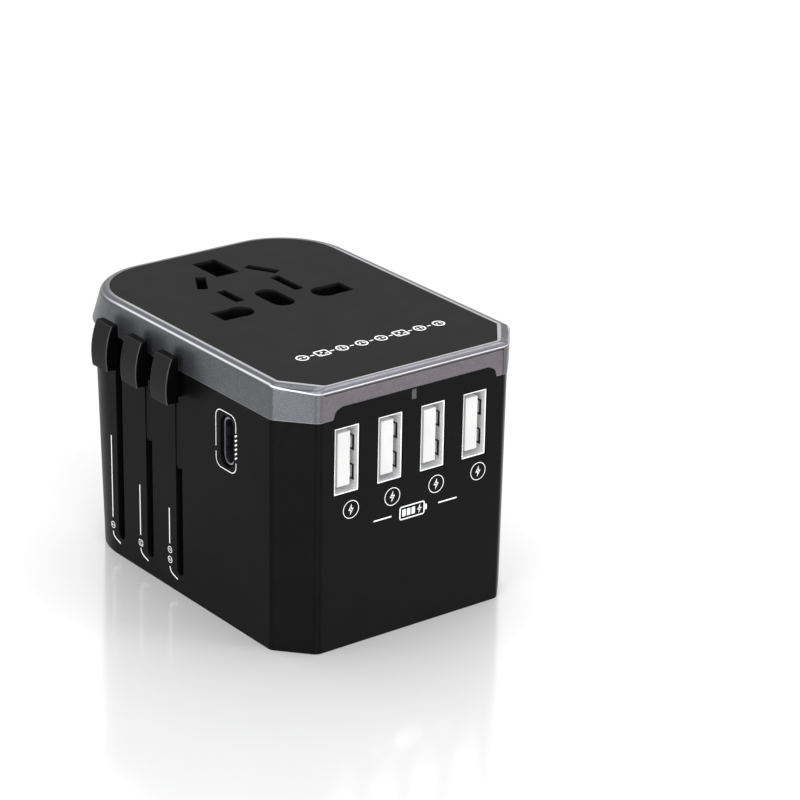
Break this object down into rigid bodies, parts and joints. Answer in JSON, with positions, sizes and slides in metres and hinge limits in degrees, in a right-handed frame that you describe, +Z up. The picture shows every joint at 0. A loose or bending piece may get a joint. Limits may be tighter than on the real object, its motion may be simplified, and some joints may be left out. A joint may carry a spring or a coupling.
{
  "type": "universal travel adapter",
  "caption": "Compact travel adapter: universal mains socket on top, side sliders that push out European, British or American plug pins below, and a USB charger.",
  "frame": {"origin": "middle of the body's footprint, on the surface the adapter rests on", "axes": "+Z up out of the socket face, +Y from the USB-A ports towards the rounded back, -X towards the slider knobs and the USB-C port"},
  "size_m": [0.0571, 0.072, 0.0509],
  "materials": {
    "black_shell": "satin",
    "gunmetal": "satin",
    "charcoal_face": "matte",
    "knob_black": "satin",
    "inner_black": "matte",
    "port_steel": "satin",
    "port_white": "satin",
    "brass": "satin",
    "pin_nickel": "polished",
    "spring_steel": "satin",
    "screw_steel": "satin",
    "light_pipe": "gloss",
    "board_green": "satin",
    "ferrite": "matte",
    "winding_tape": "gloss",
    "capacitor_sleeve": "gloss",
    "chip_black": "matte",
    "fuse_ceramic": "satin"
  },
  "bodies": {
    "body": {"main_housing": "black_shell", "base_plate": "black_shell", "bezel": "gunmetal", "socket_plate": "charcoal_face", "socket_block": "charcoal_face", "led_light_pipe": "light_pipe", "line_contact": "brass", "neutral_contact": "brass", "line_rail": "brass", "neutral_rail": "brass", "main_fuse": "fuse_ceramic", "fuse_clips": "brass", "usb_board": "board_green", "usb_a_shell_1": "port_steel", "usb_a_shell_2": "port_steel", "usb_a_shell_3": "port_steel", "usb_a_shell_4": "port_steel", "usb_a_tongue_1": "port_white", "usb_a_tongue_2": "port_white", "usb_a_tongue_3": "port_white", "usb_a_tongue_4": "port_white", "usb_a_contacts": "brass", "usb_c_shell_part": "port_steel", "usb_c_tongue": "inner_black", "usb_c_board": "board_green", "transformer_core": "ferrite", "transformer_winding": "winding_tape", "capacitors": "capacitor_sleeve", "choke": "ferrite", "power_chips": "chip_black", "base_screws": "screw_steel"},
    "socket_shutter": {"shutter": "inner_black", "shutter_spring": "spring_steel"},
    "european_plug": {"eu_carrier": "inner_black", "eu_pins": "pin_nickel", "eu_pin_sleeves": "inner_black", "eu_wipers": "brass"},
    "european_knob": {"eu_knob": "knob_black", "eu_knob_spring": "spring_steel"},
    "british_plug": {"uk_carrier": "inner_black", "uk_pins": "pin_nickel", "uk_pin_sleeves": "inner_black", "uk_earth_pin": "inner_black", "uk_wipers": "brass", "uk_slot_strip": "black_shell"},
    "british_knob": {"uk_knob": "knob_black", "uk_knob_spring": "spring_steel"},
    "american_plug": {"us_carrier": "inner_black", "us_wipers": "brass", "us_slot_strip": "black_shell"},
    "american_knob": {"us_knob": "knob_black", "us_knob_spring": "spring_steel"},
    "blade_left": {"us_blade_left": "pin_nickel"},
    "blade_right": {"us_blade_right": "pin_nickel"}
  },
  "joints": [
    {"name": "eu_slide", "type": "slide", "parent": "body", "child": "european_plug", "axis": [0, 0, -1], "range_m": [0, 0.021]},
    {"name": "uk_slide", "type": "slide", "parent": "body", "child": "british_plug", "axis": [0, 0, -1], "range_m": [0, 0.0232]},
    {"name": "us_slide", "type": "slide", "parent": "body", "child": "american_plug", "axis": [0, 0, -1], "range_m": [0, 0.021]},
    {"name": "eu_knob_press", "type": "slide", "parent": "european_plug", "child": "european_knob", "axis": [1, 0, 0], "range_m": [0, 0.0009], "stiffness_N_per_m": 400, "springref_m": -0.001},
    {"name": "uk_knob_press", "type": "slide", "parent": "british_plug", "child": "british_knob", "axis": [1, 0, 0], "range_m": [0, 0.0009], "stiffness_N_per_m": 400, "springref_m": -0.001},
    {"name": "us_knob_press", "type": "slide", "parent": "american_plug", "child": "american_knob", "axis": [1, 0, 0], "range_m": [0, 0.0009], "stiffness_N_per_m": 400, "springref_m": -0.001},
    {"name": "blade_left_turn", "type": "hinge", "parent": "american_plug", "child": "blade_left", "pos_m": [-0.00635, 0.0004, 0.024], "axis": [0, 0, 1], "range_deg": [-30, 0]},
    {"name": "blade_right_turn", "type": "hinge", "parent": "american_plug", "child": "blade_right", "pos_m": [0.00635, 0.0004, 0.024], "axis": [0, 0, 1], "range_deg": [0, 30]},
    {"name": "shutter_slide", "type": "slide", "parent": "body", "child": "socket_shutter", "axis": [0, -1, 0], "range_m": [0, 0.006], "stiffness_N_per_m": 60, "springref_m": -0.004}
  ]
}
